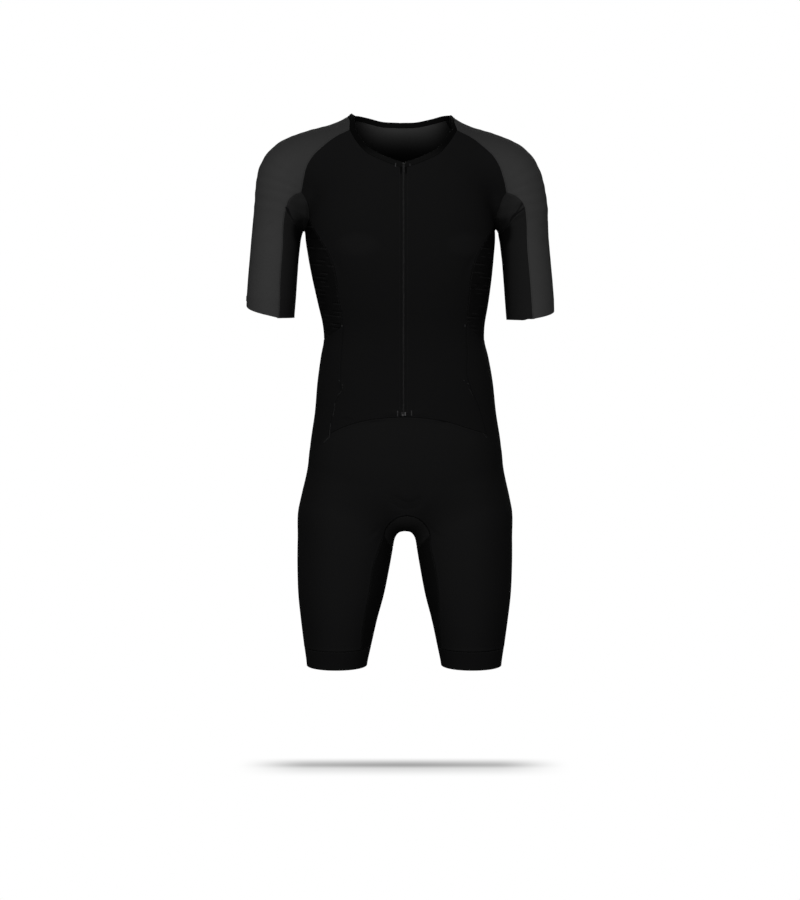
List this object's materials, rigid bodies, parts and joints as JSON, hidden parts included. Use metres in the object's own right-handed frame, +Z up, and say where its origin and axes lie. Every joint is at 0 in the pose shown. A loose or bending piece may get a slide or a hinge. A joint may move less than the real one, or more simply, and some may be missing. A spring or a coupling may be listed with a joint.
{
  "type": "short-sleeved triathlon suit",
  "caption": "Close-fitting one-piece racing suit with short raglan sleeves, a V neck closed by a front zip, mesh side panels and mid-thigh legs with gripper bands.",
  "frame": {"origin": "middle of the neck at shoulder height, where the wearer's shoulders carry the suit", "axes": "+Z up, the front of the suit faces -Y, the wearer's left side is at +X"},
  "size_m": [0.5013, 0.2403, 0.9034],
  "materials": {
    "body_black": "smooth matt black stretch knit",
    "shorts_black": "dense black stretch knit with a faint sheen",
    "sleeve_grey": "dark grey knit with a fine raised texture",
    "under_sleeve_black": "smooth black stretch knit",
    "gusset_black": "black stretch knit with a soft sheen",
    "mesh_black": "black ribbed mesh",
    "thigh_black": "matt black stretch knit",
    "band_black": "doubled black knit, gripper band",
    "binding_black": "folded black elastic binding",
    "zip_black": "black nylon coil zip",
    "zip_grey": "grey moulded zip stop"
  },
  "bodies": {
    "suit": {"front_right": "body_black", "front_left": "body_black", "back_body": "body_black", "side_lower_right": "body_black", "side_lower_left": "body_black", "back_yoke": "sleeve_grey", "sleeve_right": "sleeve_grey", "sleeve_left": "sleeve_grey", "under_sleeve_right": "under_sleeve_black", "under_sleeve_left": "under_sleeve_black", "underarm_gusset_right": "gusset_black", "underarm_gusset_left": "gusset_black", "side_mesh_right": "mesh_black", "side_mesh_left": "mesh_black", "shorts_front": "shorts_black", "shorts_back": "shorts_black", "inner_thigh_right": "thigh_black", "inner_thigh_left": "thigh_black", "crotch_gusset": "thigh_black", "leg_band_right": "band_black", "leg_band_left": "band_black", "neck_binding": "binding_black", "zip_tape": "zip_black", "zip_slider": "zip_black", "zip_box": "zip_grey"},
    "pull_tab": {"zip_pull_tab": "zip_black"}
  },
  "joints": [
    {"name": "pull_tab_swing", "type": "hinge", "parent": "suit", "child": "pull_tab", "pos_m": [0.00179, -0.09486, -0.08849], "axis": [-0.9985, -0.0512, 0.0214], "range_deg": [0, 150]}
  ]
}
